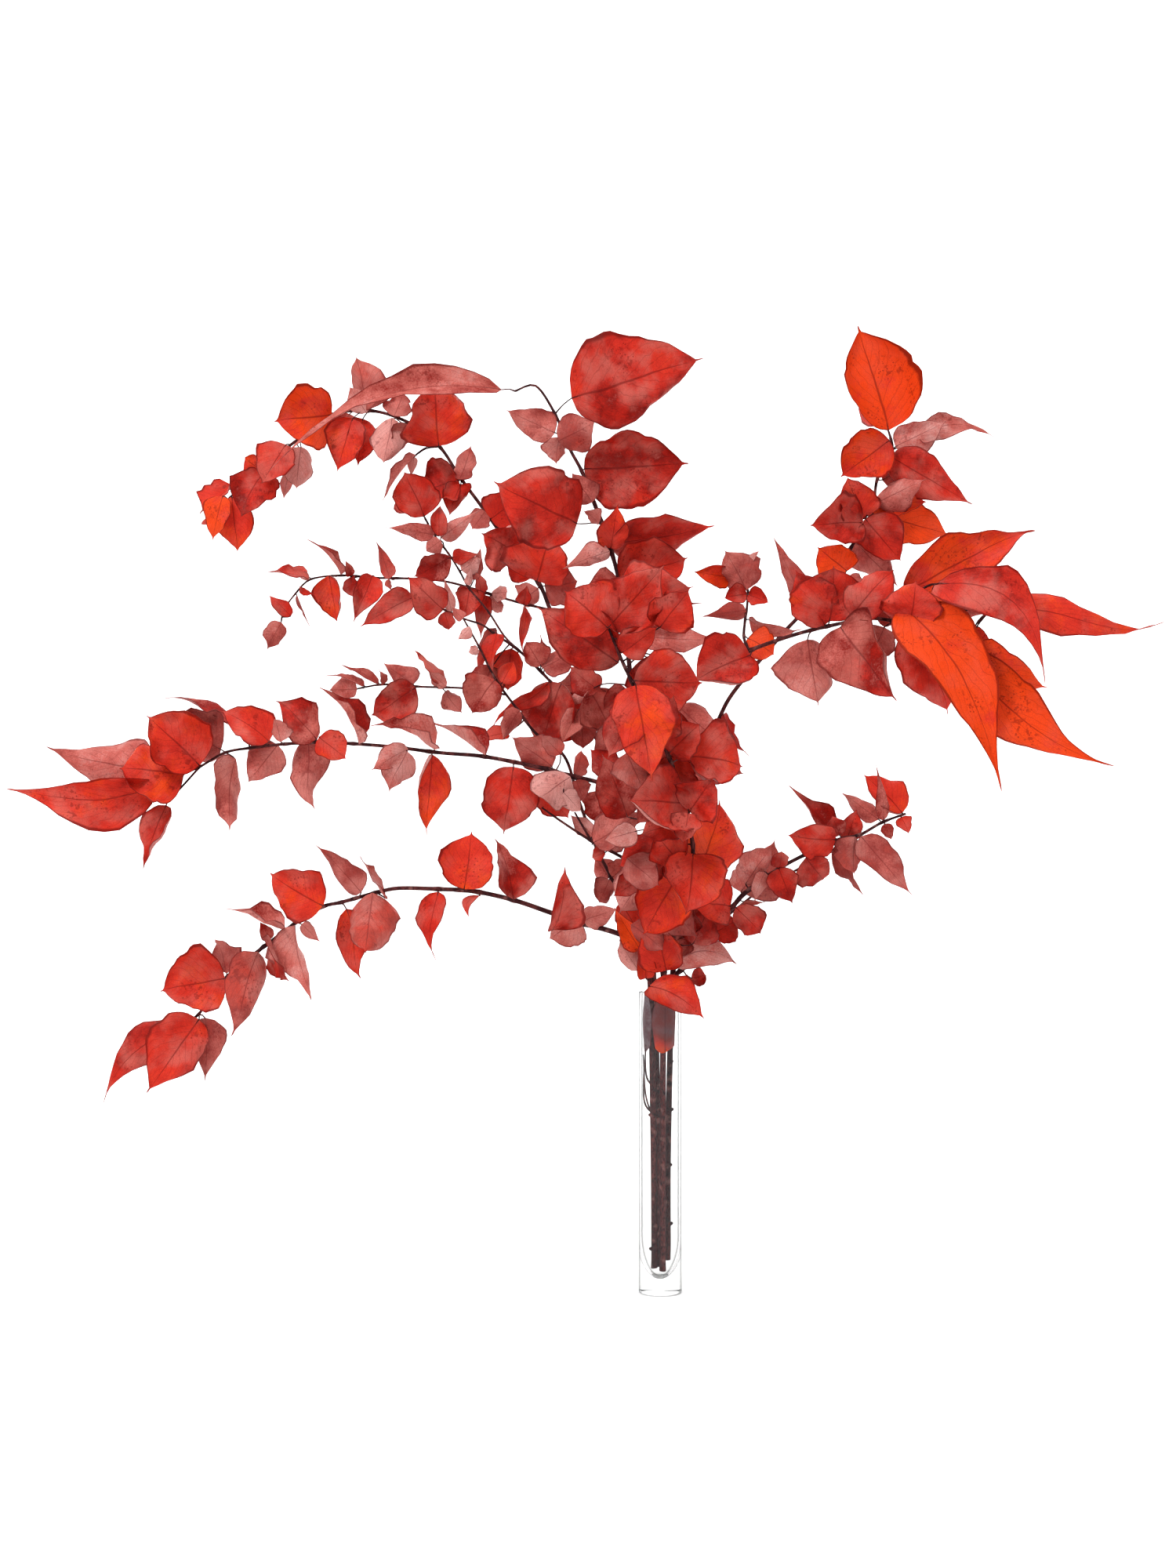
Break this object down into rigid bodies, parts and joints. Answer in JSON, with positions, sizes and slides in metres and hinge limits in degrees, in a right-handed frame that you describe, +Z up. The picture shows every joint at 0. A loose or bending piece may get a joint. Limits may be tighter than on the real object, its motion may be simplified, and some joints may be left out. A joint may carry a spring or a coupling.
{
  "type": "preserved eucalyptus branches in a glass tube vase",
  "caption": "Red-dyed preserved eucalyptus branches with round, drip-tipped leaves, standing loose in a slim clear glass tube vase.",
  "frame": {"origin": "centre of the vase's flat underside", "axes": "+Z up along the vase's axis, -Y towards the viewer of the picture, +X to the viewer's right"},
  "size_m": [0.9197, 0.3857, 0.826],
  "materials": {
    "clear_glass": "clear, glossy",
    "dyed_leaf_left": "soft satin, red dye",
    "dyed_leaf_upper_left": "soft satin, red dye",
    "dyed_leaf_centre": "soft satin, red dye",
    "dyed_leaf_right": "soft satin, orange-red dye"
  },
  "bodies": {
    "root": {"glass_vase": "clear_glass", "stem_left": "dyed_leaf_left", "stem_upper_left": "dyed_leaf_upper_left", "stem_centre": "dyed_leaf_centre", "stem_right": "dyed_leaf_right"}
  },
  "joints": []
}
